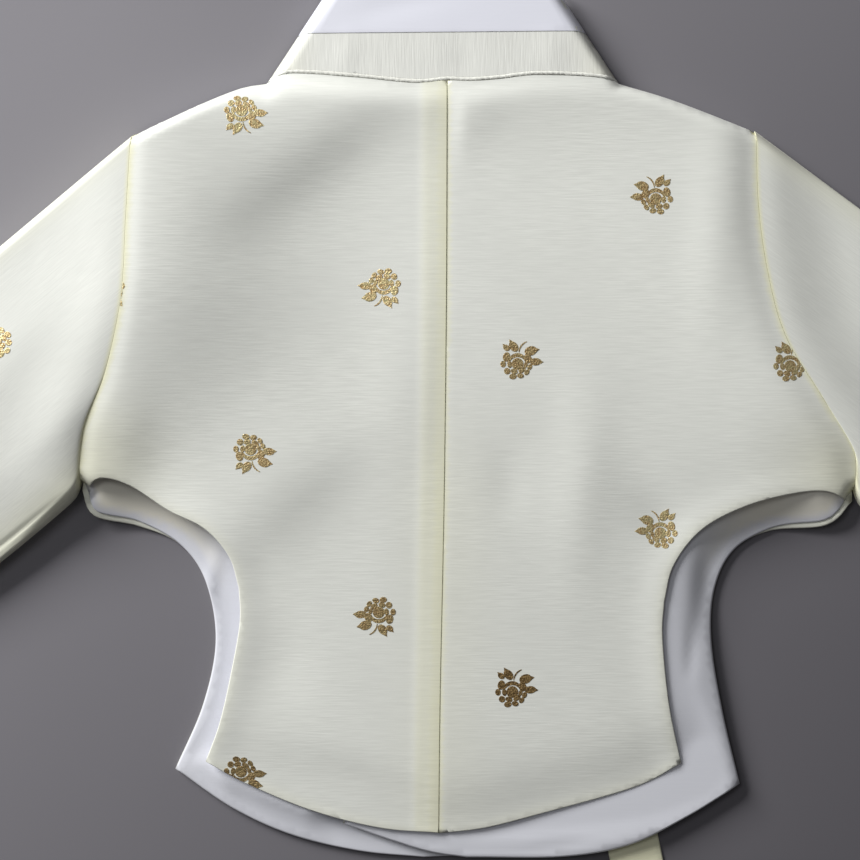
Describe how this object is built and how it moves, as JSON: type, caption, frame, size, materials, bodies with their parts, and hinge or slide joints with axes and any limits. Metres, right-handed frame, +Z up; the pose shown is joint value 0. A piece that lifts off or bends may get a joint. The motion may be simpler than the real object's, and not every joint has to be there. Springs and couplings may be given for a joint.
{
  "type": "young child's hanbok jacket, laid flat face down",
  "caption": "Child's silk hanbok jacket with scooped side vents, set-in sleeves, banded collar and ties, laid flat with its back up.",
  "frame": {"origin": "on the flat underside, on the centre-back line, half way down the body", "axes": "+X towards the wearer's right, +Y towards the collar, +Z up, out of the back"},
  "size_m": [0.6476, 0.4673, 0.0213],
  "materials": {
    "shell_silk": "ivory slubbed silk with a soft sheen and small gold foil flowers",
    "collar_silk": "ivory slubbed silk, its slubs across the band",
    "lining_satin": "smooth cool white lining",
    "white_strip": "crisp white interlined strip"
  },
  "bodies": {
    "root": {"back_left": "shell_silk", "back_right": "shell_silk", "sleeve_left": "shell_silk", "sleeve_right": "shell_silk", "front_outer": "shell_silk", "front_inner": "shell_silk", "overlap_outer": "shell_silk", "overlap_inner": "shell_silk", "lining_outer": "lining_satin", "lining_inner": "lining_satin", "collar_back": "collar_silk", "collar_outer": "collar_silk", "collar_inner": "collar_silk", "collar_welt": "collar_silk", "collar_white_back": "white_strip", "collar_white_outer": "white_strip", "collar_white_inner": "white_strip", "tie_long": "shell_silk", "tie_short": "shell_silk"}
  },
  "joints": []
}
